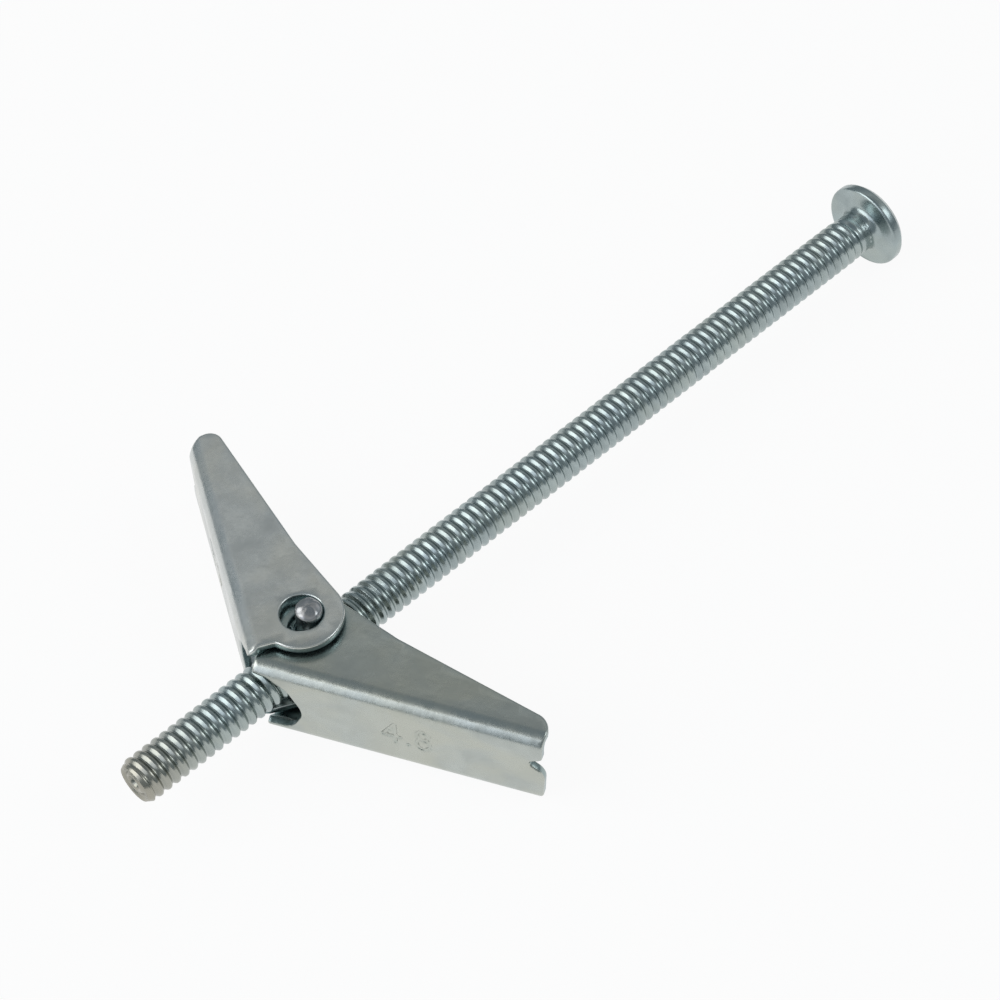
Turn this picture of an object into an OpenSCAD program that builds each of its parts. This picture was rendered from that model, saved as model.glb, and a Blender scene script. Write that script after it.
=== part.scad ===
// Spring toggle bolt: a long machine screw whose nut carries two sheet-steel wings.
// The wings fold forward against a spring to pass a hole, then open behind the wall.
// Frame: the origin is the centre of the head's bearing face, +X points out of the
// head along the screw, and +Z is the axis that the two wings hinge about.

/* [Screw] */
// Length of the screw below its head
screw_length = 101.6; // [76.2:0.1:127]
// Outside diameter over the thread crests
thread_d = 4.8; // [4:0.1:6]
// Distance between thread crests
thread_pitch = 1.0583; // [0.7:0.0001:1.3]
// Diameter of the plain neck under the head
neck_d = 4.2; // [3.4:0.1:4.6]
// Length of the plain neck under the head
neck_length = 3.2; // [1.5:0.1:6]
// Radius of the fillet between the neck and the head
neck_fillet = 0.7; // [0.3:0.1:1]
// Length of the bevel at the screw's free end
tip_bevel = 0.7; // [0.3:0.1:1.2]
// Diameter of the small centre dimple in the free end
dimple_d = 1; // [0.6:0.1:1.6]

/* [Head] */
// Diameter of the head
head_d = 9.5; // [8:0.1:13]
// Height of the head from its bearing face to the top of the dome
head_h = 2.9; // [2.2:0.1:4]
// Height of the straight rim under the dome
head_rim_h = 1.1; // [0.5:0.1:1.6]
// Rounding of the head's lower rim
head_edge_r = 0.3; // [0.1:0.1:0.5]
// Width of the driver slot
slot_w = 1.2; // [0.8:0.1:1.6]
// Depth of the driver slot below the top of the dome
slot_depth = 1.4; // [0.8:0.1:1.7]

/* [Nut] */
// Distance from the head's bearing face back to the hinge pins
hinge_from_head = 79; // [45:0.1:80]
// Diameter of the nut's round body, which stands along the hinge axis
nut_body_d = 7; // [6.4:0.1:8]
// Thinnest wall of the nut's body, above and below its bore
nut_wall = 0.15; // [0.1:0.05:0.6]
// Diameter of the two hinge pins
pin_d = 2.7; // [2:0.1:3.4]
// How far each pin's end stands out of the outer ear
pin_proud = 1.2; // [0.1:0.1:1.6]
// Rounding of the pins' ends
pin_edge_r = 0.35; // [0.1:0.05:0.6]

/* [Wings] */
// Angle between each open wing's web and the screw
wing_angle = 62; // [50:0.1:75]
// Angle between a wing's web and the free edges of its flanges
wing_taper = 15.2; // [8:0.1:20]
// Distance from the ear hole to the wing's far end, along the web
wing_reach = 25.8; // [20:0.1:32]
// Thickness of the sheet
sheet_t = 0.85; // [0.6:0.05:1.1]
// Inside radius of the bend between web and flange
bend_inner_r = 0.1; // [0.1:0.05:0.6]
// Distance from the ear hole's centre to the web's outer face
web_back = 6.29; // [5.6:0.01:8]
// Distance from the ear hole's centre to the flange's free edge
edge_front = 3.5; // [3.2:0.1:5]
// Radius of the round ear
ear_r = 4.2; // [3.6:0.1:5]
// Diameter of the loose ear hole
ear_hole_d = 4.25; // [3.6:0.05:5]
// Radius of the hollow where the ear runs into the flange's end
ear_hollow_r = 0.8; // [0.3:0.1:1.5]
// How far the flanges' hinge ends lie behind the ear hole, along the web
flange_end = 2.2; // [1.4:0.1:2.6]
// How far up from the web the flanges' hinge ends start to slope back to meet it
flange_end_rise = 1.2; // [0.3:0.1:1.5]
// How much further one side of the hinge end reaches than the line where the webs meet
end_step = 0.3; // [0:0.05:0.5]
// How far the web's slot runs on past the side of the screw
slot_relief = 1.5; // [0.2:0.1:3]
// How far the slot's round end lies off the wing's middle
slot_end_shift = 0.6; // [0:0.1:0.8]
// How far the slot's mouth reaches from the wing's middle on its wider side
slot_low = 3.2; // [2.8:0.1:3.4]
// Length over which the slot narrows from its mouth to its round end
slot_flare = 0.9; // [0.5:0.1:2]
// Radius of the flange's nose at the wing's far end
nose_r = 1.9; // [1:0.1:2.4]
// Depth of the notch in the web's far end
notch_depth = 1.4; // [0.6:0.1:2.5]
// Width of the notch at its mouth
notch_w = 3.4; // [2:0.1:4.5]
// Radius at the bottom of the notch
notch_r = 0.6; // [0.3:0.1:1]

/* [Spring] */
// Diameter of the spring wire
wire_d = 0.45; // [0.25:0.05:0.5]
// Length of the spring's two straight legs, one inside each wing
leg_length = 11; // [8:0.5:16]

/* [Fits] */
// Radial gap between the screw and the nut's bore
thread_gap = 0.05; // [0.02:0.01:0.1]
// Gap between the screw and the sides of the web slots
slot_gap = 0.2; // [0.1:0.05:0.3]
// Gap between the nut's body and the inner ear below it
nut_seat_gap = 0.1; // [0.04:0.01:0.2]
// Gap between neighbouring ears
ear_gap = 0.45; // [0.1:0.05:1]
// Gap between the two webs' ends where they stop each other
stop_gap = 0.06; // [0.04:0.01:0.2]
// Gap between the spring and what it lies against
spring_gap = 0.05; // [0.03:0.01:0.1]
// Gap left between the pins and the loose ear holes they bear on
pin_gap = 0.03; // [0.02:0.01:0.1]

/* [Hidden] */
$fn = 96;

// Screw
thread_r = thread_d / 2;
neck_r = neck_d / 2;
head_r = head_d / 2;
dome_h = head_h - head_rim_h;
dome_r = (head_r * head_r + dome_h * dome_h) / (2 * dome_h);
tip_r = thread_r - tip_bevel;

// The two wings are one stamping, the left one turned over, so their ears overlap
// with a step of one sheet and a gap. The channel is as high as the stack needs: the
// nut's body, two layers of spring wire on top of it, and the ears.
nut_body_h = thread_d + 2 * (thread_gap + nut_wall);
spring_room = 2 * wire_d + 3 * spring_gap;
ear_step = sheet_t + ear_gap;
channel_h = nut_body_h + spring_room + nut_seat_gap + 2 * sheet_t + ear_step;
wing_half_h = channel_h / 2;
stack_half_h = wing_half_h + ear_step / 2;
stack_mid = (spring_room - nut_seat_gap) / 2;

// Wing section
bend_outer_r = bend_inner_r + sheet_t;
web_inner = web_back - sheet_t;

// The notch lies half a step off the wing's middle, and the slot's mouth reaches far
// enough on that side to clear the screw from either wing.
notch_shift = ear_step / 2;
slot_high = ear_step / 2 + stack_mid + thread_r + slot_gap;

// The loose holes are pushed back and outwards until they bear on the pins.
pin_r = pin_d / 2;
ear_hole_r = ear_hole_d / 2;
hole_play = ear_hole_r - pin_r - pin_gap;
play_angle = 50;
hole_back = hole_play * cos(play_angle);
hole_out = hole_play * sin(play_angle);

// Distances along the web from the ear hole: back to the long and the short side of
// the hinge end, and forward to the slot's round end. Each wing's short side stops
// against the other wing's long side.
long_end = (hole_out + web_inner * cos(wing_angle) - stop_gap / 2) / sin(wing_angle)
    + end_step;
short_end = (web_inner * sin(2 * wing_angle) + 2 * hole_out * sin(wing_angle)
    - long_end - stop_gap) / -cos(2 * wing_angle);
slot_end = (thread_r - hole_out - web_inner * cos(wing_angle)) / sin(wing_angle)
    + slot_relief;
slot_end_r = thread_r + slot_gap;
slot_round_x = slot_end - slot_end_r;

// Nose of a flange, rounded between the tapered free edge and the web
nose_x = wing_reach - nose_r;
nose_y = (edge_front - nose_r) / cos(wing_taper) - tan(wing_taper) * nose_x;
nose_tangent = [nose_x + nose_r * sin(wing_taper), nose_y + nose_r * cos(wing_taper)];

// Spring: a coil of a little over one turn round the upper pin, in two layers between
// the nut's body and the ear above it. One straight leg leaves each layer.
wire_r = wire_d / 2;
coil_r = pin_r + spring_gap + wire_r;
low_z = nut_body_h / 2 + spring_gap + wire_r;
high_z = low_z + wire_d + spring_gap;
coil_steps = 48;
wire_sides = 8;

// Each leg slopes out until its end lies against the inner face of its wing's web.
hinge_to_web = web_inner + hole_back * sin(wing_angle) + hole_out * cos(wing_angle);
leg_slope = asin((hinge_to_web - wire_r - spring_gap - coil_r) / leg_length);
leg_angle = wing_angle + leg_slope;
coil_start = leg_angle + 90;
coil_wrap = 540 - 2 * leg_angle;

module round_end(r, edge, length) {
    // Profile of a rod's end: the axis is the Y axis and the end is at y = length
    square([r - edge, length]);
    square([r, length - edge]);
    translate([r - edge, length - edge])
        circle(r = edge);
}

module head_profile() {
    intersection() {
        union() {
            translate([0, head_edge_r])
                square([head_r, head_h]);
            square([head_r - head_edge_r, head_h]);
            translate([head_r - head_edge_r, head_edge_r])
                circle(r = head_edge_r);
        }
        translate([0, head_h - dome_r])
            circle(r = dome_r, $fn = 180);
    }
}

module shank_profile() {
    block_r = neck_r + neck_fillet;
    difference() {
        polygon([
            [0, head_rim_h],
            [block_r, head_rim_h],
            [block_r, -neck_fillet],
            [neck_r, -neck_fillet],
            [neck_r, -neck_length],
            [thread_r, -neck_length - (thread_r - neck_r)],
            [thread_r, tip_bevel - screw_length],
            [tip_r, -screw_length],
            [0, -screw_length]
        ]);
        translate([block_r, -neck_fillet])
            circle(r = neck_fillet);
    }
}

module screw() {
    color("lightsteelblue")
    rotate([0, 90, 0])
    difference() {
        union() {
            rotate_extrude()
            intersection() {
                head_profile();
                square([head_r + 1, head_h + 1]);
            }
            rotate_extrude()
                shank_profile();
        }
        translate([-head_r - 1, -slot_w / 2, head_h - slot_depth])
            cube([head_d + 2, slot_w, slot_depth + 1]);
        translate([0, 0, -screw_length - dimple_d * 0.2])
            sphere(d = dimple_d, $fn = 48);
    }
}

module pin(length) {
    rotate_extrude()
    intersection() {
        round_end(pin_r, pin_edge_r, length);
        square([pin_r + 1, length + 1]);
    }
}

module trunnion_nut() {
    color("silver")
    translate([-hinge_from_head, 0, 0])
    difference() {
        union() {
            cylinder(d = nut_body_d, h = nut_body_h, center = true);
            pin(stack_half_h + stack_mid + pin_proud);
            mirror([0, 0, 1])
                pin(stack_half_h - stack_mid + pin_proud);
        }
        rotate([0, 90, 0])
            cylinder(r = thread_r + thread_gap, h = nut_body_d + 2, center = true);
    }
}

// Cross-section of the channel: the web lies along Y at the left, the flanges point right
module channel_section(depth) {
    difference() {
        bent_corners(bend_outer_r, 0, depth);
        bent_corners(bend_inner_r, sheet_t, depth + 1);
    }
}

module bent_corners(r, inset, depth) {
    half = wing_half_h - inset;
    translate([inset + r, -half])
        square([depth - inset - r, 2 * half]);
    translate([inset, r - half])
        square([depth - inset, 2 * (half - r)]);
    for (side = [-1, 1])
        translate([inset + r, side * (half - r)])
            circle(r = r);
}

// Side view of a wing: X runs along the web, Y towards the free edges, the ear hole is at 0
module flange_blank(end) {
    circle(r = ear_r);
    translate([nose_x, nose_y])
        circle(r = nose_r);
    polygon([
        [-end, -web_back],
        [wing_reach, -web_back],
        [wing_reach, nose_y],
        nose_tangent,
        [edge_front * sin(wing_taper), edge_front * cos(wing_taper)],
        [0, 0],
        [-end, -sqrt(ear_r * ear_r - end * end)]
    ]);
}

// The long side's end runs straight up into the ear
module long_flange() {
    flange_blank(long_end);
}

// The short side's end slopes up from the web, and runs into the ear round a hollow
module short_flange() {
    hollow_x = -flange_end - ear_hollow_r;
    hollow_y = -sqrt(pow(ear_r + ear_hollow_r, 2) - pow(hollow_x, 2));
    difference() {
        union() {
            flange_blank(flange_end);
            translate([hollow_x, hollow_y])
                square([ear_hollow_r, -hollow_y]);
            polygon([
                [-short_end, -web_back],
                [0, -web_back],
                [0, flange_end_rise - web_inner],
                [-flange_end, flange_end_rise - web_inner],
                [-short_end, -web_inner]
            ]);
        }
        translate([hollow_x, hollow_y])
            circle(r = ear_hollow_r);
    }
}

// Front view of a wing: X runs along the web, Y along the hinge axis
module web_outline() {
    difference() {
        translate([-ear_r - 1, -wing_half_h])
            square([ear_r + 1 + wing_reach, channel_h]);
        translate([wing_reach - notch_depth, notch_shift])
            notch();
    }
}

// Notch with a rounded bottom at 0, opening along X
module notch() {
    half = notch_w / 2;
    translate([notch_r, 0])
        circle(r = notch_r);
    polygon([
        [notch_r, -notch_r],
        [notch_r, notch_r],
        [notch_depth, half],
        [notch_depth + 1, half],
        [notch_depth + 1, -half],
        [notch_depth, -half]
    ]);
}

// Slot that lets the screw through the hinge end of the web, wider at its mouth
module web_slot() {
    translate([slot_round_x, slot_end_shift])
        circle(r = slot_end_r);
    polygon([
        [-long_end - 1, slot_high],
        [slot_round_x - slot_flare, slot_high],
        [slot_round_x, slot_end_shift + slot_end_r],
        [slot_round_x, slot_end_shift - slot_end_r],
        [slot_round_x - slot_flare, -slot_low],
        [-long_end - 1, -slot_low]
    ]);
}

// One stamped wing, lying along X with its web's outer face towards -Y
module wing() {
    reach = wing_reach + ear_r + 2;
    difference() {
        intersection() {
            translate([wing_reach + 1, -web_back, 0])
            rotate([90, 0, -90])
            mirror([1, 0, 0])
            linear_extrude(height = reach)
                channel_section(web_back + ear_r + 1);
            union() {
                linear_extrude(height = wing_half_h + 1)
                    long_flange();
                mirror([0, 0, 1])
                linear_extrude(height = wing_half_h + 1)
                    short_flange();
            }
            translate([0, ear_r + 1, 0])
            rotate([90, 0, 0])
            linear_extrude(height = web_back + ear_r + 2)
                web_outline();
        }
        translate([0, sheet_t - web_back, 0])
        rotate([90, 0, 0])
        linear_extrude(height = sheet_t + 1)
            web_slot();
        cylinder(r = ear_hole_r, h = channel_h + 2, center = true);
    }
}

// The right wing, placed from the middle of the stack on the hinge axis
module placed_wing() {
    translate([-hole_back, -hole_out, -ear_step / 2])
    rotate([0, 0, -wing_angle])
        wing();
}

module wing_right() {
    color("gainsboro")
    translate([-hinge_from_head, 0, stack_mid])
        placed_wing();
}

// The left wing is the same stamping, turned over
module wing_left() {
    color("gainsboro")
    translate([-hinge_from_head, 0, stack_mid])
    rotate([180, 0, 0])
        placed_wing();
}

// The spring's wire is a list of stations, each a point and a level sideways direction.
function polar(r, a) = [r * cos(a), r * sin(a), 0];

// The coil climbs between the two ends' overlap, where its layers lie flat on each other
function coil_height(turned) =
    let (overlap = coil_wrap - 360)
    high_z + (low_z - high_z) * min(1, max(0, (turned - overlap) / (360 - overlap)));

function coil_station(turned) =
    [polar(coil_r, coil_start + turned) + [0, 0, coil_height(turned)],
        polar(-1, coil_start + turned)];

left_end = [
    polar(coil_r, leg_angle + 90) + polar(leg_length, leg_angle) + [0, 0, high_z],
    polar(-1, leg_angle + 90)
];

right_end = [
    polar(coil_r, -leg_angle - 90) + polar(leg_length, -leg_angle) + [0, 0, low_z],
    polar(-1, -leg_angle - 90)
];

stations = concat(
    [left_end],
    [for (step = [0:coil_steps]) coil_station(coil_wrap * step / coil_steps)],
    [right_end]
);

function unit(v) = v / norm(v);

// A ring of points round the wire at one station, square to the wire's direction
function wire_ring(i) =
    let (
        last = len(stations) - 1,
        along = unit(stations[min(i + 1, last)][0] - stations[max(i - 1, 0)][0]),
        across = stations[i][1],
        up = unit(cross(along, across))
    )
    [for (k = [0:wire_sides - 1])
        let (a = k * 360 / wire_sides)
        stations[i][0] + wire_r * (cos(a) * across + sin(a) * up)];

module spring() {
    count = len(stations);
    points = [for (i = [0:count - 1]) each wire_ring(i)];
    walls = [for (i = [0:count - 2]) for (k = [0:wire_sides - 1])
        let (a = i * wire_sides + k, b = i * wire_sides + (k + 1) % wire_sides)
        [a, b, b + wire_sides, a + wire_sides]];
    start = [[for (k = [0:wire_sides - 1]) wire_sides - 1 - k]];
    end = [[for (k = [0:wire_sides - 1]) (count - 1) * wire_sides + k]];
    color("slategray")
    translate([-hinge_from_head, 0, 0])
        polyhedron(points = points, faces = concat(start, walls, end));
}

screw();
trunnion_nut();
wing_left();
wing_right();
spring();
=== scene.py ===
"""Spring toggle bolt: the visual model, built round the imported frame.

The scene is in metres. The numbers in this file are in millimetres unless a comment says otherwise.
"""

import math

import bmesh
import bpy
import numpy as np
from mathutils import Matrix, Vector
from mathutils.geometry import delaunay_2d_cdt


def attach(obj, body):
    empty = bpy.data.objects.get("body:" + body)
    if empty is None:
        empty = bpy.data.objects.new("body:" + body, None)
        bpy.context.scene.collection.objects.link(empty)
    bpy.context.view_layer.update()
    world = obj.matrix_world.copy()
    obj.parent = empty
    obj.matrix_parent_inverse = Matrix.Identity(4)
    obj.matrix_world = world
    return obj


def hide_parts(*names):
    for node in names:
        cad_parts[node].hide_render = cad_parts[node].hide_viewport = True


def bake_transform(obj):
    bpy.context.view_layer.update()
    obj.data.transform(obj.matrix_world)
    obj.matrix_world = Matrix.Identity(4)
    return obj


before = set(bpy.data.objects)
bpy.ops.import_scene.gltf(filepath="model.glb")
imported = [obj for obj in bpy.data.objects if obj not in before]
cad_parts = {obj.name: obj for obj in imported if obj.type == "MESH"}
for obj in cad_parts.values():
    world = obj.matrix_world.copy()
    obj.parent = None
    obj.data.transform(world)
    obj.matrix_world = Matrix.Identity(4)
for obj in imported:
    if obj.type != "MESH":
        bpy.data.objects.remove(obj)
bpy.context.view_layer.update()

MM = 0.001

# ---------------------------------------------------------------- sizes, in mm
# Screw, along X from the head's bearing face. The thread is drawn shallower than the standard form.
SCREW_LENGTH = 101.6
CREST_R = 2.4
ROOT_R = 2.11
PITCH = 25.4 / 24
FIRST_CREST = -100.7
NECK_R = 2.25
NECK_END = -1.2
THREAD_FADE = 2.6
TIP_BEVEL = 0.42
TIP_SLOPE = 0.6
TIP_FACE_DEPTH = 0.05
HEAD_R = 4.75
HEAD_H = 2.9
HEAD_RIM_H = 1.1
HEAD_EDGE_R = 0.3
NECK_FILLET = 0.9
SLOT_W = 1.2
SLOT_DEPTH = 1.4
HEAD_SOFTENING = 0.07
SCREW_SIDES = 48

# Hinge stack, along Z
HINGE_X = -79.0
SHEET = 0.85
BEND_INNER_R = 0.9
NUT_H = 5.2
NUT_R = 3.5
NUT_BORE_R = CREST_R + 0.05
NUT_SOFTENING = 0.1
NUT_SIDES = 64
PIN_R = 1.35
WIRE_R = 0.225
LEG_LENGTH = 11.0
LEG_BEND = 3.0
SPRING_GAP = 0.05
SEAT_GAP = 0.1
EAR_GAP = 0.45
PIN_PROUD = 1.18
SPRING_ROOM = 4 * WIRE_R + 3 * SPRING_GAP
EAR_STEP = SHEET + EAR_GAP
WING_HALF_H = (NUT_H + SPRING_ROOM + SEAT_GAP + 2 * SHEET + EAR_STEP) / 2
STACK_MID = (SPRING_ROOM - SEAT_GAP) / 2
STACK_HALF_H = WING_HALF_H + EAR_STEP / 2

# Wing blank: U along the web from the ear hole, W across the sheet before it is bent
WING_ANGLE = math.radians(62)
WING_TAPER = math.radians(15.2)
WEB_BACK = 6.29
EDGE_FRONT = 3.5
EAR_R = 4.2
HOLE_R = 2.125
HOLE_SIDES = 64
HOLE_BACK = 0.479
HOLE_OUT = 0.571
LONG_END = 3.8
SHORT_END = 2.95
BEND_OUTER_R = BEND_INNER_R + SHEET
BEND_MID_R = BEND_INNER_R + SHEET / 2
BEND_ARC = BEND_MID_R * math.pi / 2
BEND_V = BEND_OUTER_R - WEB_BACK
WEB_HALF = WING_HALF_H - BEND_OUTER_R
# How much further down the lower ears hang than the stack on the pin needs
LOWER_SLACK = 0.8


# ---------------------------------------------------------------- mesh helpers
def mesh_object(name, points, faces, smooth=True):
    """A new object from points in millimetres."""
    vertices = (np.asarray(points, float) * MM).tolist()
    polygons = [list(map(int, face)) for face in faces]
    mesh = bpy.data.meshes.new(name)
    mesh.from_pydata(vertices, [], polygons)
    mesh.validate()
    mesh.update()
    obj = bpy.data.objects.new(name, mesh)
    bpy.context.collection.objects.link(obj)
    if smooth:
        mesh.shade_smooth()
    return obj


def clean(obj, distance=1e-3):
    """Merge doubled points, drop the faces that this closes up, and turn the rest outwards."""
    bm = bmesh.new()
    bm.from_mesh(obj.data)
    bmesh.ops.remove_doubles(bm, verts=bm.verts, dist=distance * MM)
    bmesh.ops.dissolve_degenerate(bm, edges=bm.edges, dist=distance * 0.5 * MM)
    bmesh.ops.recalc_face_normals(bm, faces=bm.faces)
    bm.to_mesh(obj.data)
    bm.free()
    obj.data.update()
    return obj


def apply_modifiers(obj):
    """Replace the object's mesh with its evaluated one."""
    depsgraph = bpy.context.evaluated_depsgraph_get()
    mesh = bpy.data.meshes.new_from_object(obj.evaluated_get(depsgraph))
    obj.modifiers.clear()
    obj.data = mesh
    return obj


def cut(obj, cutter):
    """Take the cutter out of the object, and remove the cutter."""
    modifier = obj.modifiers.new("cut", "BOOLEAN")
    modifier.operation = "DIFFERENCE"
    modifier.solver = "EXACT"
    modifier.object = cutter
    apply_modifiers(obj)
    bpy.data.objects.remove(cutter, do_unlink=True)
    return obj


SOFTEN_ANGLE = math.radians(40)
SOFTEN_SEGMENTS = 2


def soften(obj, width):
    """Bevel the edges sharper than SOFTEN_ANGLE, and weight the normals by face area."""
    bevel = obj.modifiers.new("soften", "BEVEL")
    bevel.width = width * MM
    bevel.segments = SOFTEN_SEGMENTS
    bevel.limit_method = "ANGLE"
    bevel.angle_limit = SOFTEN_ANGLE
    bevel.use_clamp_overlap = True
    apply_modifiers(obj)
    obj.data.shade_smooth()
    weight_normals(obj)
    return obj


NORMAL_WEIGHT = 60


def weight_normals(obj):
    """Shade by normals that large faces pull harder on than small ones."""
    modifier = obj.modifiers.new("weighted", "WEIGHTED_NORMAL")
    modifier.keep_sharp = True
    modifier.weight = NORMAL_WEIGHT
    return obj


def lathe(profile, count, to_space, close=True):
    """Points and faces of (radius, height) stations turned about an axis. A radius of 0 makes a pole."""
    points, rings = [], []
    for r, h in profile:
        if r == 0:
            rings.append([len(points)] * count)
            points.append(to_space(0, 0, h))
        else:
            rings.append(list(range(len(points), len(points) + count)))
            for k in range(count):
                a = 2 * math.pi * k / count
                points.append(to_space(r * math.cos(a), r * math.sin(a), h))
    faces = []
    for low, high in zip(rings, rings[1:]):
        for k in range(count):
            face = [low[k], low[(k + 1) % count], high[(k + 1) % count], high[k]]
            face = [v for i, v in enumerate(face) if v != face[i - 1]]
            if len(face) > 2:
                faces.append(face)
    if close:
        for ring in (rings[0], rings[-1]):
            if ring[0] != ring[1]:
                faces.append(ring)
    return points, faces


def along_x(a, b, h):
    """To_space of a lathe about the screw's axis."""
    return (h, a, b)


def along_z(a, b, h):
    """To_space of a lathe about the hinge axis."""
    return (HINGE_X + a, b, h)


# ---------------------------------------------------------------- screw
# The thread over half a pitch: crest at 0, straight flank, root at 0.5. Heights are shares of its depth.
THREAD_STATIONS = [0.0, 0.06, 0.11, 0.15, 0.19, 0.38, 0.42, 0.46, 0.5]
THREAD_HEIGHTS = [1.0, 0.995, 0.97, 0.92, 0.81, 0.15, 0.06, 0.015, 0.0]
# Where the mesh has its lines within one pitch
THREAD_PHASES = np.array([0, 0.06, 0.11, 0.15, 0.19, 0.38, 0.42, 0.5, 0.58, 0.62, 0.81, 0.85, 0.89, 0.94])
TIP_R = CREST_R - TIP_BEVEL
# The tip's face inside the bevel, as (radius, depth): a low lip round a deep dimple
TIP_PROFILE = [
    (1.9, 0.02), (1.8, -0.04), (1.66, -0.18), (1.48, -0.27), (1.3, -0.2), (1.12, -0.02), (1.0, 0.04),
    (0.86, 0.02), (0.72, -0.12), (0.6, -0.4), (0.48, -0.66), (0.3, -0.8), (0, -0.86),
]
# How far the dimple's middle lies off the axis, and the radius where that shift has died away
DIMPLE_SHIFT = (0.3, 0.25)
DIMPLE_SHIFT_R = 1.6


def thread_profile(phase):
    """The thread's radius at a phase of its pitch."""
    to_crest = np.minimum(phase, 1 - phase)
    return ROOT_R + (CREST_R - ROOT_R) * np.interp(to_crest, THREAD_STATIONS, THREAD_HEIGHTS)


def thread_points(rows):
    """The helical strip's points, row by row, flattened to a disc at the tip and faded into the neck."""
    tip_x = -SCREW_LENGTH
    start = FIRST_CREST - 2 * PITCH
    i = np.arange(rows)[:, None]
    x = start + PITCH * (i / SCREW_SIDES + THREAD_PHASES[None, :])
    angle = 2 * np.pi * i / SCREW_SIDES
    r = thread_profile(np.broadcast_to(THREAD_PHASES[None, :], x.shape))
    r = np.minimum(r, np.maximum(TIP_R + (x - tip_x) * TIP_SLOPE, TIP_R))
    fade = np.clip((x - (NECK_END - THREAD_FADE)) / THREAD_FADE, 0, 1)
    fade = fade * fade * (3 - 2 * fade)
    r = r * (1 - fade) + NECK_R * fade
    r = np.where(x <= tip_x, TIP_R, r)
    x = np.clip(x, tip_x, NECK_END)
    return np.stack([x, r * np.cos(angle), r * np.sin(angle)], -1).reshape(-1, 3)


def make_thread():
    """The thread as one helical strip, with each turn joined to the next."""
    across = len(THREAD_PHASES)
    turns = int((SCREW_LENGTH + NECK_END) / PITCH) + 3
    rows = turns * SCREW_SIDES + 1
    points = thread_points(rows)
    faces = []
    for row in range(rows - 1):
        for k in range(across):
            a = row * across + k
            b = (row + 1) * across + k
            if k + 1 < across:
                quad = [a, b, b + 1, a + 1]
            elif row + SCREW_SIDES + 1 < rows:
                quad = [a, b, (row + SCREW_SIDES + 1) * across, (row + SCREW_SIDES) * across]
            else:
                continue
            xs = points[quad, 0]
            past_tip = xs.max() <= -SCREW_LENGTH + 1e-9
            past_neck = xs.min() >= NECK_END - 1e-9
            if not (past_tip or past_neck):
                faces.append(quad)
    return clean(mesh_object("screw_thread", points, faces), 0.004)


def head_and_neck():
    """Stations from the end of the neck, round the fillet and the head to the top of the dome."""
    dome_h = HEAD_H - HEAD_RIM_H
    dome_r = (HEAD_R ** 2 + dome_h ** 2) / (2 * dome_h)
    stations = [(NECK_R, NECK_END), (NECK_R, -NECK_FILLET)]
    for k in range(1, 8):
        a = math.radians(90 * k / 8)
        stations.append((NECK_R + NECK_FILLET * (1 - math.cos(a)), -NECK_FILLET * (1 - math.sin(a))))
    stations += [(3.6, 0), (4.2, 0)]
    for k in range(7):
        a = math.radians(90 * k / 6)
        stations.append((HEAD_R - HEAD_EDGE_R * (1 - math.sin(a)), HEAD_EDGE_R * (1 - math.cos(a))))
    top = math.asin(HEAD_R / dome_r)
    rim_soft = 0.16
    stations += [(HEAD_R, 0.6), (HEAD_R, HEAD_RIM_H - rim_soft)]
    for k in range(1, 5):
        a = math.radians(90 - math.degrees(top)) * k / 4
        stations.append((HEAD_R - rim_soft * (1 - math.cos(a)) - 0.02 * k / 4,
                         HEAD_RIM_H - rim_soft * (1 - math.sin(a)) * 0.9 - 0.01))
    for k in range(1, 15):
        a = top * 0.955 * (1 - k / 15)
        stations.append((dome_r * math.sin(a), HEAD_H - dome_r * (1 - math.cos(a))))
    stations.append((0, HEAD_H))
    return stations


def make_head():
    """The head and the neck, with the driver's slot cut across the dome."""
    points, faces = lathe(head_and_neck(), SCREW_SIDES, along_x)
    head = clean(mesh_object("screw_head", points, faces))
    slot_points = [(x, y, z) for x in (HEAD_H - SLOT_DEPTH, HEAD_H + 1)
                   for y in (-SLOT_W / 2, SLOT_W / 2) for z in (-HEAD_R - 1, HEAD_R + 1)]
    slot_faces = [(0, 1, 3, 2), (4, 6, 7, 5), (0, 4, 5, 1), (2, 3, 7, 6), (0, 2, 6, 4), (1, 5, 7, 3)]
    cut(head, clean(mesh_object("slot_cutter", slot_points, slot_faces, smooth=False)))
    soften(head, HEAD_SOFTENING)
    return apply_modifiers(head)


def dimple_aside(a, b, h):
    """To_space of the tip's lathe: its middle part lies a little off the screw's axis."""
    shift = max(0, 1 - math.hypot(a, b) / DIMPLE_SHIFT_R)
    return (h, a + DIMPLE_SHIFT[0] * shift, b + DIMPLE_SHIFT[1] * shift)


def make_tip():
    """The face that closes the thread's end."""
    face = [(r, TIP_FACE_DEPTH - SCREW_LENGTH - h) for r, h in TIP_PROFILE]
    points, faces = lathe([(TIP_R, -SCREW_LENGTH)] + face, SCREW_SIDES, dimple_aside, close=False)
    return mesh_object("screw_tip", points, faces)


def make_screw():
    """Thread, head and tip, merged into one skin."""
    thread = make_thread()
    head = make_head()
    cap = make_tip()

    bm = bmesh.new()
    bm.from_mesh(head.data)
    neck_cap = [face for face in bm.faces
                if face.normal.x < -0.99 and abs(face.calc_center_median().x / MM - NECK_END) < 1e-3]
    bmesh.ops.delete(bm, geom=neck_cap, context="FACES_ONLY")
    bm.from_mesh(thread.data)
    bm.from_mesh(cap.data)
    bmesh.ops.remove_doubles(bm, verts=bm.verts, dist=0.002 * MM)
    bmesh.ops.recalc_face_normals(bm, faces=bm.faces)
    mesh = bpy.data.meshes.new("screw_body")
    bm.to_mesh(mesh)
    bm.free()
    mesh.shade_smooth()
    for part in (thread, head, cap):
        bpy.data.objects.remove(part, do_unlink=True)
    obj = bpy.data.objects.new("screw_body", mesh)
    bpy.context.collection.objects.link(obj)
    return obj


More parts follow.
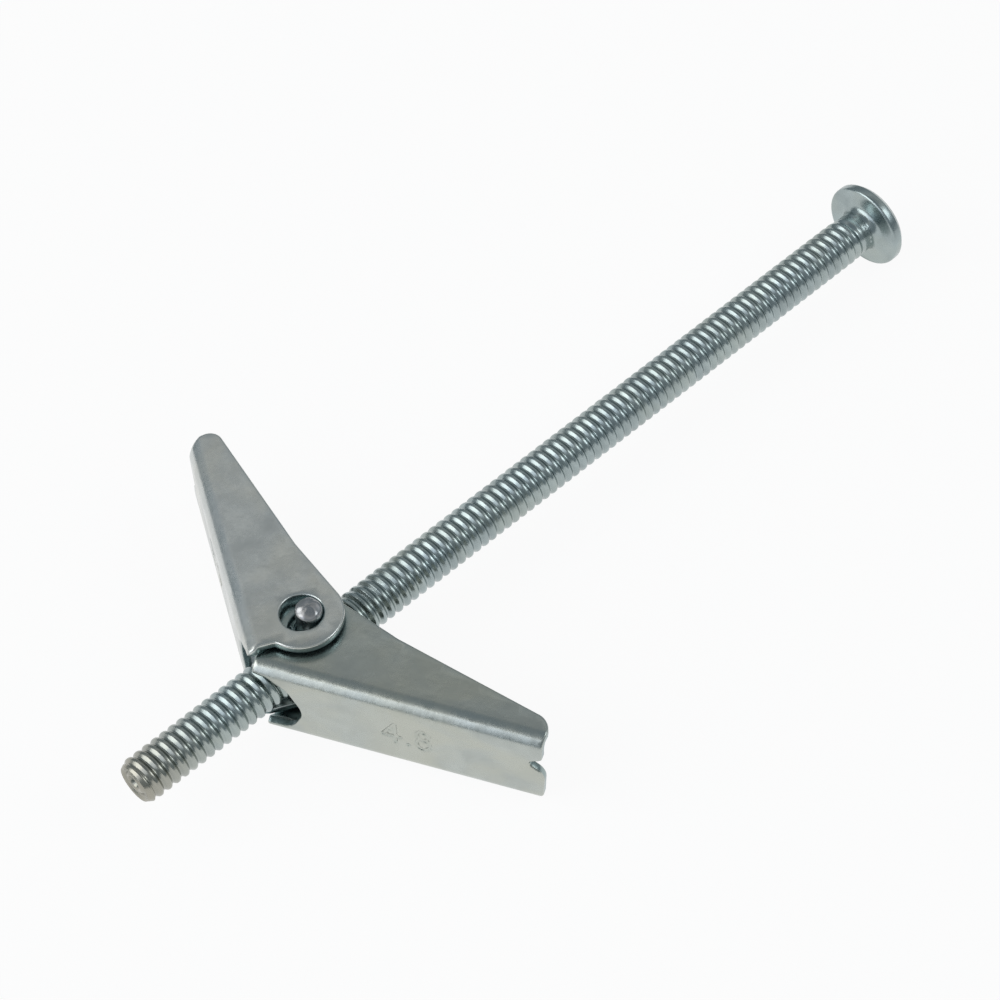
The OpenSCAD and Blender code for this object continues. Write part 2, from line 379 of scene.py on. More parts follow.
# ---------------------------------------------------------------- wings
def rounded(corners, step=0.16):
    """A closed outline from (x, y, radius) corners, sampled finely round each corner."""
    points = []
    count = len(corners)
    for i, (x, y, r) in enumerate(corners):
        p = np.array([x, y], float)
        if r == 0:
            points.append(p)
            continue
        before = np.array(corners[i - 1][:2], float) - p
        after = np.array(corners[(i + 1) % count][:2], float) - p
        before /= np.linalg.norm(before)
        after /= np.linalg.norm(after)
        half = math.acos(np.clip(before @ after, -1, 1)) / 2
        bisector = (before + after) / np.linalg.norm(before + after)
        centre = p + bisector * r / math.sin(half)
        start = p + before * r / math.tan(half) - centre
        end = p + after * r / math.tan(half) - centre
        side = 1 if start[0] * end[1] - start[1] * end[0] > 0 else -1
        sweep = math.pi - 2 * half
        steps = max(2, math.ceil(r * sweep / step))
        for k in range(steps + 1):
            a = side * sweep * k / steps
            c, s = math.cos(a), math.sin(a)
            points.append(centre + np.array([c * start[0] - s * start[1], s * start[0] + c * start[1]]))
    return points


def subdivide(points, longest):
    """Add points along a closed outline's longer segments."""
    result = []
    for p, q in zip(points, points[1:] + points[:1]):
        steps = max(1, math.ceil(np.linalg.norm(q - p) / longest))
        result += [p + (q - p) * k / steps for k in range(steps)]
    return result


def circle(centre, r, count):
    """Points round a circle, anticlockwise."""
    angles = [2 * math.pi * k / count for k in range(count)]
    return [np.array(centre) + r * np.array([math.cos(a), math.sin(a)]) for a in angles]


def inward(points):
    """How each point moves when an anticlockwise outline is drawn in by one unit. Sharp corners lag."""
    p = np.array(points)
    ahead = np.roll(p, -1, 0) - p
    ahead /= np.linalg.norm(ahead, axis=1)[:, None]
    behind = np.roll(ahead, 1, 0)
    normal = np.stack([-ahead[:, 1] - behind[:, 1], ahead[:, 0] + behind[:, 0]], -1)
    normal /= np.linalg.norm(normal, axis=1)[:, None]
    mitre = normal[:, 0] * -ahead[:, 1] + normal[:, 1] * ahead[:, 0]
    return normal / np.clip(mitre, 0.6, 1)[:, None]


def inside(points, polygon):
    """Which points lie inside the polygon."""
    x, y = points[:, 0], points[:, 1]
    result = np.zeros(len(points), bool)
    for (x1, y1), (x2, y2) in zip(polygon, np.roll(polygon, -1, 0)):
        crosses = (y1 > y) != (y2 > y)
        with np.errstate(divide="ignore", invalid="ignore"):
            at = (x2 - x1) * (y - y1) / (y2 - y1) + x1
        result ^= crosses & (x < at)
    return result


EAR_STEPS = 40


def flange_edge(side, heel, reach, nose_r, ear_end, last):
    """One flange's outline in (u, w), from its nose along the free edge and round the ear to its end."""
    def free_edge(u):
        """Distance of the tapered free edge from the hinge axis, across the wing."""
        return (EDGE_FRONT - u * math.sin(WING_TAPER)) / math.cos(WING_TAPER)

    middle_u = reach / 3
    corners = [(heel, BEND_V, 0), (reach, free_edge(reach), nose_r), (middle_u, free_edge(middle_u), 0),
               (middle_u, BEND_V, 0)]
    outline = rounded(corners)[1:-1]
    ear_start = math.pi / 2 - WING_TAPER
    for k in range(EAR_STEPS + 1):
        a = ear_start + (ear_end - ear_start) * k / EAR_STEPS
        outline.append((EAR_R * math.cos(a), EAR_R * math.sin(a)))
    outline += last
    return [np.array((u, side * (WEB_HALF + BEND_ARC + v - BEND_V))) for u, v in outline]


# Corners (u, w, radius) of the web's far end, between the flanges; the left wing's was cropped shorter
FAR_ENDS = {
    "wing_left": [
        (24.4, -4.8, 0.6), (23.4, -3.5, 1.2), (22.9, -0.4, 1.2), (22.2, 0.6, 0.3), (23.8, 1.6, 0.4),
        (24.0, 4.2, 0.8),
    ],
    "wing_right": [
        (24.4, -4.5, 1.0), (25.5, -3.5, 0.9), (25.7, 0.0, 1.6), (23.8, 1.15, 0.35), (25.45, 1.95, 0.4),
        (25.5, 4.0, 0.8),
    ],
}
# Corners (u, w, radius) of the web's hinge end, with the slot's mouth that the screw passes through
MOUTH = [
    (-2.72, -6.5, 0), (-2.72, -4.7, 0.25), (-SHORT_END, -4.3, 0.3), (-SHORT_END, -3.5, 0.3),
    (-2.2, -3.45, 1.2), (-0.2, -3.0, 1.5), (1.2, -0.6, 1.9), (-0.4, 2.3, 1.9), (-2.3, 3.3, 1.0),
    (-LONG_END, 3.5, 0.3), (-LONG_END, 6.5, 0),
]
OUTLINE_STEP = 0.25
OUTLINE_MERGE = 0.03


def wing_loops(name):
    """Outline and two ear holes of the flat blank, in (u, w)."""
    upper = flange_edge(1, 25.6, 25.6, 1.9, math.pi + math.acos(LONG_END / EAR_R), [])
    lower = flange_edge(-1, 24.4, 24.8, 1.4, math.radians(226), [(-2.72, -3.3), (-2.72, BEND_V)])
    far = rounded([(24.4, -6.5, 0)] + FAR_ENDS[name] + [(25.6, 6.5, 0)])[1:-1]
    mouth = rounded(MOUTH)[1:-1]
    outline = far + upper + list(reversed(mouth)) + list(reversed(lower))
    outline = subdivide([np.array(p, float) for p in outline], OUTLINE_STEP)
    kept = [outline[0]]
    for p in outline[1:]:
        if np.linalg.norm(p - kept[-1]) > OUTLINE_MERGE:
            kept.append(p)
    ear_w = WEB_HALF + BEND_ARC - BEND_V
    holes = [list(reversed(circle((0, side * ear_w), HOLE_R, HOLE_SIDES))) for side in (1, -1)]
    return [kept] + holes


def to_wing(u, w, out):
    """Bend the blank: (u, w) on the sheet's middle and a distance outwards, to wing space (u, v, z)."""
    side = np.sign(w)
    across = np.abs(w)
    turn = np.clip((across - WEB_HALF) / BEND_MID_R, 0, math.pi / 2)
    r = BEND_MID_R + out
    v = BEND_V - r * np.cos(turn) + np.maximum(across - WEB_HALF - BEND_ARC, 0)
    z = side * (np.minimum(across, WEB_HALF) + r * np.sin(turn))
    return np.stack([u, v, z], -1)


# The punched mark: where its first digit starts in (u, w), and its strokes' width, depth and sloping side
MARK_PLACE = (9.4, -0.9)
MARK_WIDTH = 0.4
MARK_DEPTH = 0.16
MARK_SLOPE = 0.12


def mark_strokes():
    """The thread's size in millimetres, 4.8, as polylines in (u, w)."""
    def ring(x, y, r):
        """A circle of 16 strokes."""
        return [(x + r * math.cos(math.pi * k / 8), y + r * math.sin(math.pi * k / 8)) for k in range(17)]

    four = [[(1.25, 0), (1.25, 2.5), (0, 0.8), (1.8, 0.8)]]
    point = [[(2.55, 0.05), (2.6, 0.05)]]
    eight = [ring(4.1, 1.85, 0.58), ring(4.1, 0.62, 0.68)]
    return [[(MARK_PLACE[0] + x, MARK_PLACE[1] + y) for x, y in stroke] for stroke in four + point + eight]


def mark_depth(u, w):
    """Depth of the punched mark at points of the web's outer face."""
    nearest = np.full(u.shape, 9.0)
    for stroke in mark_strokes():
        for (u1, w1), (u2, w2) in zip(stroke, stroke[1:]):
            du, dw = u2 - u1, w2 - w1
            t = np.clip(((u - u1) * du + (w - w1) * dw) / (du * du + dw * dw), 0, 1)
            nearest = np.minimum(nearest, np.hypot(u - u1 - t * du, w - w1 - t * dw))
    share = np.clip((MARK_WIDTH / 2 - nearest) / MARK_SLOPE + 0.5, 0, 1)
    return MARK_DEPTH * share * share * (3 - 2 * share)


# Spacing of the points inside the sheet: on its flat parts, along its bends and under the punched mark
FLAT_STEP = 1.1
BEND_STEP = 0.32
MARK_STEP = 0.11
BEND_ROWS = 14
# How near to the rim such a point may come
RIM_CLEARANCE = 0.12


def wing_interior():
    """Extra points in (u, w) for the sheet's flat parts and bends."""
    points = []
    for side in (-1, 1):
        for k in range(BEND_ROWS + 1):
            w = side * (WEB_HALF + BEND_ARC * k / BEND_ROWS)
            points += [(u, w) for u in np.arange(-3.6, 25.6, BEND_STEP)]
    grid_u, grid_w = np.meshgrid(np.arange(-4, 26, FLAT_STEP), np.arange(-14, 14, FLAT_STEP))
    points += list(zip(grid_u.ravel(), grid_w.ravel()))
    return np.array(points)


def mark_interior():
    """Finer points in (u, w) round the punched mark."""
    fine_u, fine_w = np.meshgrid(np.arange(8.4, 15.4, MARK_STEP), np.arange(-4.2, 3.6, MARK_STEP))
    return np.stack([fine_u.ravel(), fine_w.ravel()], -1)


def face_sheet(loops, edge, extra):
    """Triangles of one face of the sheet: the outline drawn in by the edge radius, with extra points."""
    rings = [np.array(loop) + inward(loop) * edge for loop in loops]
    keep = inside(extra, rings[0])
    for ring in rings[1:]:
        keep &= ~inside(extra, ring)
    border = np.vstack(rings)
    extra = extra[keep]
    near = np.array([np.min(np.hypot(*(border - p).T)) for p in extra])
    extra = extra[near > RIM_CLEARANCE]
    points = [Vector(p) for p in np.vstack([border, extra])]
    edges, first = [], 0
    for ring in rings:
        edges += [(first + k, first + (k + 1) % len(ring)) for k in range(len(ring))]
        first += len(ring)
    found, _, triangles, origin, _, _ = delaunay_2d_cdt(points, edges, [], 1, 1e-5)
    found = np.array([tuple(p) for p in found])
    triangles = np.array([t for t in triangles if len(t) == 3])
    middle = found[triangles].mean(1)
    keep = inside(middle, rings[0])
    for ring in rings[1:]:
        keep &= ~inside(middle, ring)
    index = {}
    for new, olds in enumerate(origin):
        for old in olds:
            index[old] = new
    return found, triangles[keep], [index[k] for k in range(len(border))]


# Radius of the sheet's rim on its outer and its inner face
RIM_OUT = 0.22
RIM_IN = 0.09
# Which band of the rim is the straight sheared face, counted from the outer face
SHEARED_LEVEL = 3


def make_wing_mesh(name):
    """A wing in its own space, as a closed sheet with a rolled outer rim and a sharper inner one."""
    loops = wing_loops(name)
    coarse = wing_interior()
    outer, outer_faces, outer_rim = face_sheet(loops, RIM_OUT, np.vstack([coarse, mark_interior()]))
    inner, inner_faces, inner_rim = face_sheet(loops, RIM_IN, coarse)

    half = SHEET / 2
    depth = mark_depth(outer[:, 0], outer[:, 1])
    points = [to_wing(outer[:, 0], outer[:, 1], half - depth)]
    first = len(outer)

    flat = np.vstack([np.array(loop) for loop in loops])
    into = np.vstack([inward(loop) for loop in loops])
    rings = [np.array(outer_rim)]
    steps = [(RIM_OUT * (1 - math.sin(a)), half - RIM_OUT * (1 - math.cos(a)))
             for a in np.radians([30, 60, 90])]
    steps += [(RIM_IN * (1 - math.sin(a)), -half + RIM_IN * (1 - math.cos(a)))
              for a in np.radians([90, 45])]
    for inset, out in steps:
        at = flat + into * inset
        points.append(to_wing(at[:, 0], at[:, 1], out))
        rings.append(np.arange(first, first + len(at)))
        first += len(at)
    points.append(to_wing(inner[:, 0], inner[:, 1], -half))
    rings.append(np.array(inner_rim) + first)
    faces = [f.tolist() for f in outer_faces] + [(f[::-1] + first).tolist() for f in inner_faces]
    start = 0
    sheared = []
    for loop in loops:
        span = range(start, start + len(loop))
        for level, (high, low) in enumerate(zip(rings, rings[1:])):
            for k in span:
                n = k + 1 if k + 1 < start + len(loop) else start
                if level == SHEARED_LEVEL:
                    sheared.append(len(faces))
                faces.append([high[n], high[k], low[k], low[n]])
        start += len(loop)
    return np.vstack(points), faces, sheared


def place_wing(points, side):
    """From wing space to the open position. The left wing is the same stamping, turned over."""
    c, s = math.cos(WING_ANGLE), math.sin(WING_ANGLE)
    u, v, z = points.T
    x = u * c + v * s - HOLE_BACK
    y = -u * s + v * c - HOLE_OUT
    z = z - EAR_STEP / 2
    if side > 0:
        y, z = -y, -z
    z = z + STACK_MID
    z = z - LOWER_SLACK * np.clip((2.5 - z) / 5, 0, 1)
    return np.stack([x + HINGE_X, y, z], -1)


def make_wing(name, side, points, faces, sheared):
    """A wing's mesh, with its sheared rim, given a painted-shade zinc, in the second material slot."""
    obj = mesh_object(name, place_wing(points, side), faces)
    index = np.zeros(len(faces), int)
    index[sheared] = 1
    obj.data.polygons.foreach_set("material_index", index)
    clean(obj, 0.0005)
    weight_normals(obj)
    return obj


# ---------------------------------------------------------------- nut and spring
PIN_TOP = STACK_MID + STACK_HALF_H + PIN_PROUD
PIN_BOTTOM = STACK_MID - STACK_HALF_H - PIN_PROUD
# The pin's domed end, as (radius, distance back from the end)
PIN_DOME = [
    (0.35, 0.01), (0.7, 0.05), (0.95, 0.12), (1.13, 0.22), (1.25, 0.35), (1.32, 0.52), (PIN_R, 0.75),
]
# How far down from its end the pin's upset is uneven
PIN_ROUGH_DEPTH = 0.9
# The uneven end leans down by up to twice this, away from the direction in radians
PIN_LEAN = 0.16
PIN_LEAN_FROM = 0.7
# Its spiral lobes go down by up to twice this, and their phase shifts by so many radians to the millimetre
PIN_LOBE_DEPTH = 0.07
PIN_LOBES = 5
PIN_LOBE_PHASE = 3


def nut_half(end, up):
    """Profile of one half of the nut, from the pin's end to the body's side. Up is 1 or -1."""
    body = NUT_H / 2
    profile = [(0, end)]
    profile += [(r, end - up * back) for r, back in PIN_DOME]
    profile += [(PIN_R, up * (body + 1.2)), (PIN_R, up * (body + 0.1)), (PIN_R + 0.03, up * body)]
    profile += [(NUT_R - 0.3, up * body), (NUT_R - 0.12, up * (body - 0.04))]
    profile += [(NUT_R - 0.03, up * (body - 0.14)), (NUT_R, up * (body - 0.3))]
    return profile


def pin_dent(x, y):
    """How far the pin's uneven end goes down at a place."""
    a = math.atan2(y, x - HINGE_X)
    r = math.hypot(x - HINGE_X, y)
    lean = PIN_LEAN * (1 - math.cos(a - PIN_LEAN_FROM)) * (r / PIN_R)
    lobes = PIN_LOBE_DEPTH * (1 - math.sin(PIN_LOBES * a + PIN_LOBE_PHASE * r)) * (r / PIN_R)
    return lean + lobes


def make_nut():
    """Round body with a bore, and two hinge pins with uneven domed ends."""
    side = [(NUT_R, -1), (NUT_R, 0), (NUT_R, 1)]
    profile = nut_half(PIN_BOTTOM, -1) + side + nut_half(PIN_TOP, 1)[::-1]
    points, faces = lathe(profile, NUT_SIDES, along_z)
    obj = clean(mesh_object("nut_body", points, faces))
    bore = [(NUT_BORE_R, x) for x in (HINGE_X - NUT_R - 1, HINGE_X, HINGE_X + NUT_R + 1)]
    points, faces = lathe(bore, NUT_SIDES, along_x)
    cut(obj, clean(mesh_object("bore_cutter", points, faces)))
    soften(obj, NUT_SOFTENING)
    for vertex in obj.data.vertices:
        x, y, z = vertex.co / MM
        end, way = (PIN_TOP, 1) if z > 0 else (PIN_BOTTOM, -1)
        depth = (end - z) * way
        if depth < PIN_ROUGH_DEPTH:
            vertex.co.z -= way * pin_dent(x, y) * MM * (1 - depth / PIN_ROUGH_DEPTH)
    return obj


# Rounded end of a wire, as (share of its radius, how far back from its tip in radii)
WIRE_END = [(0.35, 0), (0.8, 0.4)]
WIRE_SIDES = 12
COIL_STEPS = 72
LEG_STEPS = 24
# How far each leg starts inside the coil's end
LEG_OVERLAP = 0.02


def tube(name, path, r):
    """A wire along a path of points, with rounded ends."""
    sides = WIRE_SIDES
    path = np.array(path, float)
    along = np.gradient(path, axis=0)
    along /= np.linalg.norm(along, axis=1)[:, None]
    up = np.array([0.0, 0, 1])
    across = np.cross(along, up)
    across /= np.linalg.norm(across, axis=1)[:, None]
    over = np.cross(across, along)
    angles = 2 * np.pi * np.arange(sides) / sides
    rings = []
    for shrink, back in WIRE_END:
        rings.append((path[0] + along[0] * r * back, across[0], over[0], r * shrink))
    for p, a, o in zip(path[1:-1], across[1:-1], over[1:-1]):
        rings.append((p, a, o, r))
    for shrink, back in reversed(WIRE_END):
        rings.append((path[-1] - along[-1] * r * back, across[-1], over[-1], r * shrink))
    points = [c + q * (math.cos(t) * a + math.sin(t) * o) for c, a, o, q in rings for t in angles]
    faces = []
    for low in range(0, (len(rings) - 1) * sides, sides):
        high = low + sides
        faces += [[low + k, low + (k + 1) % sides, high + (k + 1) % sides, high + k] for k in range(sides)]
    faces += [list(range(sides))[::-1], [len(points) - sides + k for k in range(sides)]]
    return clean(mesh_object(name, points, faces), 0.0005)


def make_spring():
    """The coil, in two layers on the upper pin, and each wing's leg with the start and end of its bend."""
    coil_r = PIN_R + SPRING_GAP + WIRE_R
    low_z = NUT_H / 2 + SPRING_GAP + WIRE_R
    high_z = low_z + 2 * WIRE_R + SPRING_GAP
    to_web = WEB_BACK - SHEET + HOLE_BACK * math.sin(WING_ANGLE) + HOLE_OUT * math.cos(WING_ANGLE)
    slope = math.asin((to_web - WIRE_R - SPRING_GAP - coil_r) / LEG_LENGTH)
    leg_a = WING_ANGLE + slope
    start = leg_a + math.pi / 2
    wrap = 3 * math.pi - 2 * leg_a
    overlap = wrap - 2 * math.pi

    def station(turned):
        """The wire's middle, so far round: it steps down a layer where it doesn't overlap itself."""
        t = min(1, max(0, (turned - overlap) / (2 * math.pi - overlap)))
        a = start + turned
        return (HINGE_X + coil_r * math.cos(a), coil_r * math.sin(a), high_z + (low_z - high_z) * t)

    coil = tube("spring_coil", [station(wrap * k / COIL_STEPS) for k in range(COIL_STEPS + 1)], WIRE_R)
    legs = []
    for side, name in ((1, "spring_leg_left"), (-1, "spring_leg_right")):
        z = high_z if side > 0 else low_z
        a = side * (leg_a + math.pi / 2)
        root = np.array([HINGE_X + coil_r * math.cos(a), coil_r * math.sin(a), z])
        ahead = np.array([math.cos(leg_a), side * math.sin(leg_a), 0])
        path = [root + ahead * (LEG_LENGTH * k / LEG_STEPS - LEG_OVERLAP) for k in range(LEG_STEPS + 1)]
        legs.append((tube(name, path, WIRE_R), root, root + ahead * LEG_BEND))
    return coil, legs


# ---------------------------------------------------------------- materials
def zinc(name, tint, roughness, grain=1.0, mottle=1.0, painted_crevice_shade=(0.28, 0.37, 0.38), reach=0.0018,
         dull_end=None):
    """Clear-passivated zinc: a metal with faint cloudy patches and fine grain, and painted shade in its
    crevices.

    Reach is how far the walls that cast the painted crevice shade may be, in metres. Dull_end is where
    along X the metal starts to dull and where it is dullest, in millimetres, and its colour there.
    """
    material = bpy.data.materials.new(name)
    material.use_nodes = True
    tree = material.node_tree
    nodes, links = tree.nodes, tree.links
    shader = nodes["Principled BSDF"]
    shader.inputs["Metallic"].default_value = 1.0
    place = nodes.new("ShaderNodeTexCoord")

    def noise(scale, detail, rough=0.6, distortion=0.0):
        """Noise of a scale in cells to the metre."""
        node = nodes.new("ShaderNodeTexNoise")
        node.inputs["Scale"].default_value = scale
        node.inputs["Detail"].default_value = detail
        node.inputs["Roughness"].default_value = rough
        node.inputs["Distortion"].default_value = distortion
        links.new(place.outputs["Object"], node.inputs["Vector"])
        return node.outputs["Fac"]

    def ramp(fac, low, high, a, b):
        """From a to b as the input goes from low to high."""
        node = nodes.new("ShaderNodeMapRange")
        node.inputs["From Min"].default_value = low
        node.inputs["From Max"].default_value = high
        node.inputs["To Min"].default_value = a
        node.inputs["To Max"].default_value = b
        links.new(fac, node.inputs["Value"])
        return node.outputs["Result"]

    def mix(fac, a, b):
        """Colour a, with colour b over it."""
        node = nodes.new("ShaderNodeMix")
        node.data_type = "RGBA"
        links.new(fac, node.inputs["Factor"])
        for socket, value in ((node.inputs["A"], a), (node.inputs["B"], b)):
            if isinstance(value, tuple):
                socket.default_value = (*value, 1)
            else:
                links.new(value, socket)
        return node.outputs["Result"]

    clouds = noise(330, 4, 0.55, 0.5)
    patches = noise(120, 3, 0.5, 1.0)
    specks = noise(2600, 3, 0.7)
    shade = tuple(c * 0.80 for c in tint)
    warm = tuple(c * f for c, f in zip(tint, (1.04, 1.0, 0.93)))
    stain = tuple(c * f for c, f in zip(tint, (0.72, 0.68, 0.62)))
    colour = mix(ramp(clouds, 0.35, 0.7, 0.0, 0.6 * mottle), tint, shade)
    colour = mix(ramp(patches, 0.42, 0.66, 0.0, 0.8), colour, warm)
    colour = mix(ramp(specks, 0.64, 0.8, 0.0, 0.5 * mottle), colour, stain)
    if dull_end:
        along = nodes.new("ShaderNodeSeparateXYZ")
        links.new(place.outputs["Object"], along.inputs["Vector"])
        start, end, dull = dull_end
        colour = mix(ramp(along.outputs["X"], start * MM, end * MM, 0.0, 1.0), colour, dull)
    # Painted shade: where ambient occlusion finds walls close by, in the thread's grooves, in the holes
    # and under the ears, the colour is darkened towards the painted crevice shade colour.
    crevice_shade_ao = nodes.new("ShaderNodeAmbientOcclusion")
    crevice_shade_ao.samples = 8
    crevice_shade_ao.inputs["Distance"].default_value = reach
    colour = mix(ramp(crevice_shade_ao.outputs["AO"], 0.25, 0.85, 0.0, 1.0), painted_crevice_shade, colour)
    links.new(colour, shader.inputs["Base Color"])

    rough = nodes.new("ShaderNodeMath")
    rough.operation = "ADD"
    links.new(ramp(clouds, 0.3, 0.7, roughness - 0.04, roughness + 0.06), rough.inputs[0])
    links.new(ramp(specks, 0.4, 0.75, -0.02, 0.04), rough.inputs[1])
    links.new(rough.outputs[0], shader.inputs["Roughness"])

    bump = nodes.new("ShaderNodeBump")
    bump.inputs["Strength"].default_value = 0.15 * grain
    bump.inputs["Distance"].default_value = 0.00003
    links.new(noise(4200, 3, 0.6), bump.inputs["Height"])
    swell = nodes.new("ShaderNodeBump")
    swell.inputs["Strength"].default_value = 0.3 * grain
    swell.inputs["Distance"].default_value = 0.00012
    links.new(noise(520, 2, 0.5), swell.inputs["Height"])
    links.new(swell.outputs["Normal"], bump.inputs["Normal"])
    links.new(bump.outputs["Normal"], shader.inputs["Normal"])
    return material


def finish_piece(obj, materials):
    """Give the piece its materials, keeping each face's material slot."""
    faces = np.zeros(len(obj.data.polygons), int)
    obj.data.polygons.foreach_get("material_index", faces)
    obj.data.materials.clear()
    for material in materials:
        obj.data.materials.append(material)
    obj.data.polygons.foreach_set("material_index", faces)


# ---------------------------------------------------------------- build
# The screw's near-black teal crevice colour is painted shade for its thread grooves.
screw_zinc = zinc("screw_zinc", (0.385, 0.45, 0.455), 0.27, grain=1.2, mottle=1.6,
                  painted_crevice_shade=(0.08, 0.125, 0.13), reach=0.0012, dull_end=(-92, -101.5, (0.36, 0.35, 0.30)))
# Each wing has the tint that matches its tone in the photograph: one zinc in lit and shaded copies,
# painted lighter for the left wing and painted darker for the right one
wing_zinc = {
    "wing_left": zinc("wing_zinc_left_painted_lighter", (0.62, 0.645, 0.635), 0.27),
    "wing_right": zinc("wing_zinc_right_painted_darker", (0.465, 0.50, 0.475), 0.27),
}
# The sheared rim's zinc is a darker, teal copy of the wings' zinc: painted shade for the dark band along
# the ears' cut faces.
sheared_edge_painted_shade = zinc("wing_sheared_edge_painted_shade", (0.33, 0.41, 0.42), 0.3, grain=2.0)
nut_zinc = zinc("nut_zinc", (0.40, 0.41, 0.43), 0.3, grain=2.0)
wire_steel = zinc("spring_wire", (0.36, 0.38, 0.39), 0.25, grain=0.4)

screw = make_screw()
finish_piece(screw, [screw_zinc])
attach(screw, "screw")
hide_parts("screw")

for wing_side, wing_name in ((1, "wing_left"), (-1, "wing_right")):
    wing = make_wing(wing_name + "_sheet", wing_side, *make_wing_mesh(wing_name))
    finish_piece(wing, [wing_zinc[wing_name], sheared_edge_painted_shade])
    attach(wing, wing_name)
    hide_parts(wing_name)

nut = make_nut()
finish_piece(nut, [nut_zinc])
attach(nut, "nut")
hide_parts("trunnion_nut")

coil, legs = make_spring()
finish_piece(coil, [wire_steel])
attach(coil, "nut")
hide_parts("spring")
for (leg, bend_start, bend_end), wing_name in zip(legs, ("wing_left", "wing_right")):
    finish_piece(leg, [wire_steel])
    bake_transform(leg)


# ---------------------------------------------------------------- floor, light and camera
# Share of plain white in what the camera and reflections see of the floor; the rest is its lit surface
FLOOR_WHITENESS = 0.93
# Half the floor's size and its distance from the bolt, in metres
FLOOR_HALF = 1.6
FLOOR_GAP = 0.00005


def make_floor():
    """A wide white sheet, tipped to touch the lower end of the hinge pin and the head's rim."""
    low_head = Vector((0, 0, -HEAD_R)) * MM
    low_pin = Vector((HINGE_X, 0, PIN_BOTTOM)) * MM
    pitch = math.atan2(low_head.z - low_pin.z, low_head.x - low_pin.x)
    ahead = Vector((math.cos(pitch), 0, math.sin(pitch)))
    side = Vector((0, 1, 0))
    centre = (low_pin + low_head) / 2 + Vector((0, 0, -FLOOR_GAP))
    corners = [centre + ahead * (a * FLOOR_HALF) + side * (b * FLOOR_HALF)
               for a, b in ((-1, -1), (1, -1), (1, 1), (-1, 1))]
    mesh = bpy.data.meshes.new("floor")
    mesh.from_pydata([tuple(c) for c in corners], [], [(0, 1, 2, 3)])
    floor = bpy.data.objects.new("floor", mesh)
    bpy.context.collection.objects.link(floor)

    material = bpy.data.materials.new("floor_white")
    material.use_nodes = True
    nodes, links = material.node_tree.nodes, material.node_tree.links
    paper = nodes["Principled BSDF"]
    paper.inputs["Base Color"].default_value = (0.9, 0.9, 0.9, 1)
    paper.inputs["Roughness"].default_value = 0.9
    white = nodes.new("ShaderNodeEmission")
    white.inputs["Strength"].default_value = 1.0
    path = nodes.new("ShaderNodeLightPath")
    seen = None
    for ray in ("Is Camera Ray", "Is Glossy Ray", "Is Transmission Ray"):
        if seen is None:
            seen = path.outputs[ray]
            continue
        either = nodes.new("ShaderNodeMath")
        either.operation = "MAXIMUM"
        links.new(seen, either.inputs[0])
        links.new(path.outputs[ray], either.inputs[1])
        seen = either.outputs[0]
    share = nodes.new("ShaderNodeMath")
    share.operation = "MULTIPLY"
    links.new(seen, share.inputs[0])
    share.inputs[1].default_value = FLOOR_WHITENESS
    mixed = nodes.new("ShaderNodeMixShader")
    links.new(share.outputs[0], mixed.inputs["Fac"])
    links.new(paper.outputs["BSDF"], mixed.inputs[1])
    links.new(white.outputs["Emission"], mixed.inputs[2])
    links.new(mixed.outputs["Shader"], nodes["Material Output"].inputs["Surface"])
    floor.data.materials.append(material)
    return floor


# Distance of the lights from the bolt, in metres
LIGHT_DISTANCE = 0.9


def make_light(name, azimuth, elevation, wide, high, radiance, colour=(1, 1, 1)):
    """A soft box of an even brightness, aimed at the bolt's middle. Angles in degrees, sizes in metres."""
    middle = Vector((HINGE_X / 2, 0, 0)) * MM
    azimuth, elevation = math.radians(azimuth), math.radians(elevation)
    towards = Vector((math.cos(elevation) * math.cos(azimuth), math.cos(elevation) * math.sin(azimuth),
                      math.sin(elevation)))
    data = bpy.data.lights.new(name, "AREA")
    data.shape = "RECTANGLE"
    data.size = wide
    data.size_y = high
    data.color = colour
    data.energy = radiance * math.pi * wide * high
    light = bpy.data.objects.new(name, data)
    light.location = middle + towards * LIGHT_DISTANCE
    light.rotation_euler = (-towards).to_track_quat("-Z", "Y").to_euler()
    bpy.context.collection.objects.link(light)
    return light


# The room's colour by the sine of the height above the horizon: dim and bluish, with a bright ring high up
ROOM_COLOURS = [
    (0.0, (0.19, 0.23, 0.25)),
    (0.3, (0.25, 0.29, 0.31)),
    (0.68, (0.36, 0.40, 0.43)),
    (0.785, (0.71, 0.72, 0.71)),
    (0.832, (0.32, 0.33, 0.325)),
    (0.92, (0.24, 0.28, 0.31)),
]


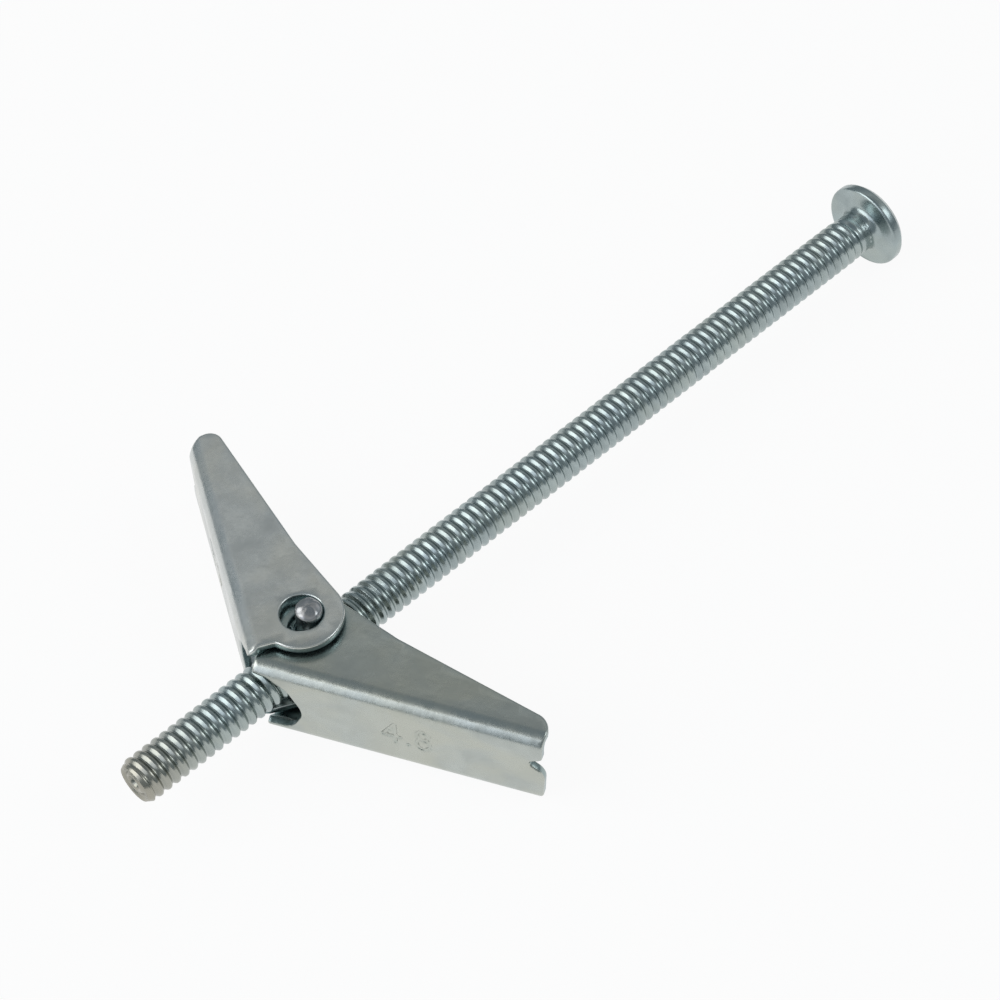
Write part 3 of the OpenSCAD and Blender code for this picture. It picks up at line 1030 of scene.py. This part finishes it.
def make_world():
    """A plain room, coloured by the height of the direction looked in, that the camera sees as white."""
    world = bpy.data.worlds.new("studio")
    bpy.context.scene.world = world
    world.use_nodes = True
    nodes, links = world.node_tree.nodes, world.node_tree.links
    place = nodes.new("ShaderNodeTexCoord")
    split = nodes.new("ShaderNodeSeparateXYZ")
    links.new(place.outputs["Generated"], split.inputs["Vector"])
    ramp = nodes.new("ShaderNodeValToRGB")
    links.new(split.outputs["Z"], ramp.inputs["Fac"])
    stops = ramp.color_ramp.elements
    while len(stops) < len(ROOM_COLOURS):
        stops.new(0.5)
    for stop, (height, colour) in zip(stops, ROOM_COLOURS):
        stop.position = height
        stop.color = (*colour, 1)
    path = nodes.new("ShaderNodeLightPath")
    mixed = nodes.new("ShaderNodeMix")
    mixed.data_type = "RGBA"
    links.new(path.outputs["Is Camera Ray"], mixed.inputs["Factor"])
    links.new(ramp.outputs["Color"], mixed.inputs["A"])
    mixed.inputs["B"].default_value = (1, 1, 1, 1)
    links.new(mixed.outputs["Result"], nodes["Background"].inputs["Color"])
    nodes["Background"].inputs["Strength"].default_value = 1.0


# Where the photograph was taken from, in metres; the way it looks, in degrees; and its focal length
CAMERA_PLACE = (-0.180598, -0.144396, 0.246658)
CAMERA_AZIMUTH = 48.732
CAMERA_DOWN = 52.003
CAMERA_ROLL = -2.748
CAMERA_LENS = 111.56


def make_camera():
    """The photograph's camera: above and behind the screw's free end."""
    azimuth, elevation, roll = (math.radians(a) for a in (CAMERA_AZIMUTH, CAMERA_DOWN, CAMERA_ROLL))
    ahead = Vector((math.cos(elevation) * math.cos(azimuth), math.cos(elevation) * math.sin(azimuth),
                    -math.sin(elevation)))
    level = Vector((math.sin(azimuth), -math.cos(azimuth), 0))
    above = level.cross(ahead)
    right = level * math.cos(roll) + above * math.sin(roll)
    up = above * math.cos(roll) - level * math.sin(roll)
    data = bpy.data.cameras.new("camera")
    data.lens = CAMERA_LENS
    data.clip_start = 0.01
    data.clip_end = 20
    camera = bpy.data.objects.new("camera", data)
    turn = Matrix((right, up, -ahead)).transposed()
    camera.matrix_world = Matrix.Translation(CAMERA_PLACE) @ turn.to_4x4()
    bpy.context.collection.objects.link(camera)
    bpy.context.scene.camera = camera


make_floor()
make_light("window", azimuth=149, elevation=32, wide=0.62, high=0.72, radiance=2.1)
make_light("fill", azimuth=184, elevation=27, wide=0.36, high=0.75, radiance=1.1, colour=(0.87, 0.90, 1.0))
make_light("side", azimuth=-52, elevation=45, wide=0.35, high=0.35, radiance=2.6, colour=(0.94, 0.98, 1.0))
make_world()
make_camera()
bpy.context.scene.view_settings.view_transform = "Standard"
